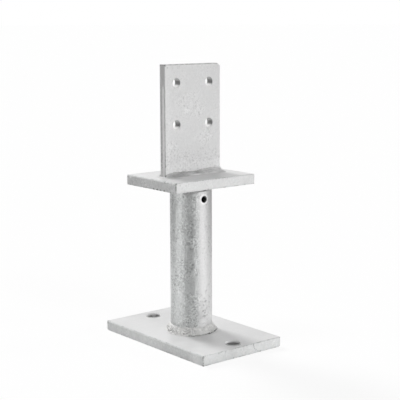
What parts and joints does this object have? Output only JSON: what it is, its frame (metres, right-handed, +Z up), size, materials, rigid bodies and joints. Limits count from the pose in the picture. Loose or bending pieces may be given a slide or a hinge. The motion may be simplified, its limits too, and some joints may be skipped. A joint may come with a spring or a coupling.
{
  "type": "column base plate",
  "caption": "Welded, galvanised steel foot that holds a timber column off concrete: base plate, tube, bearing plate and an upright drilled blade.",
  "frame": {"origin": "centre of the base plate's underside, which rests on the concrete", "axes": "+Z up along the tube; +Y along the base plate's length and through the blade's thickness; +X along the blade's width"},
  "size_m": [0.1, 0.16, 0.28],
  "materials": {
    "galvanised_plate": "hot-dip galvanised, matt, softly mottled",
    "galvanised_tube": "hot-dip galvanised, matt, with faint runs down the tube",
    "galvanised_weld": "hot-dip galvanised over rippled weld metal"
  },
  "bodies": {
    "root": {"base_plate": "galvanised_plate", "post_tube": "galvanised_tube", "bearing_plate": "galvanised_plate", "blade": "galvanised_plate", "foot_weld": "galvanised_weld", "head_weld": "galvanised_weld", "blade_weld": "galvanised_weld"}
  },
  "joints": []
}
